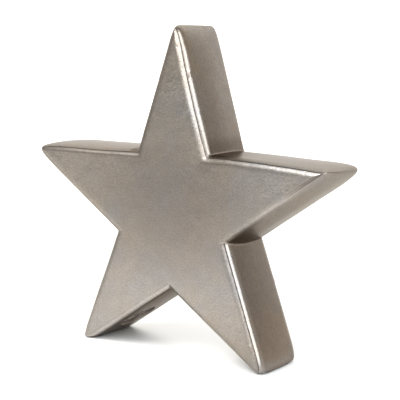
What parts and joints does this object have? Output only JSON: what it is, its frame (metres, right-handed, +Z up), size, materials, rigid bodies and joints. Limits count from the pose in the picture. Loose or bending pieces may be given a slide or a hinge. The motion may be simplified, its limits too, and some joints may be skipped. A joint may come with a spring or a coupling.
{
  "type": "free-standing star ornament",
  "caption": "Hollow five-pointed standing star with crowned sides, flattened feet, felt strips and a cork-stopped casting hole.",
  "frame": {"origin": "on the ground under the middle of the star: centred across its width and its thickness", "axes": "-Y is the front face, +X is to the right of the front, +Z is up along the top arm"},
  "size_m": [0.1662, 0.0372, 0.16],
  "materials": {
    "glazed_shell": "satin metallic pewter glaze with a fine mottle",
    "raw_clay": "unglazed brown fired clay",
    "cork": "dark agglomerated cork with pale and black flecks",
    "felt": "thin black felt"
  },
  "bodies": {
    "star": {"front_shell": "glazed_shell", "rear_shell": "glazed_shell", "seam_bead": "raw_clay", "left_foot_pad": "felt", "right_foot_pad": "felt"},
    "stopper": {"cork_stopper": "cork"}
  },
  "joints": [
    {"name": "stopper_pull", "type": "slide", "parent": "star", "child": "stopper", "axis": [0.5904, 0, -0.8071], "range_m": [0, 0.008]}
  ]
}
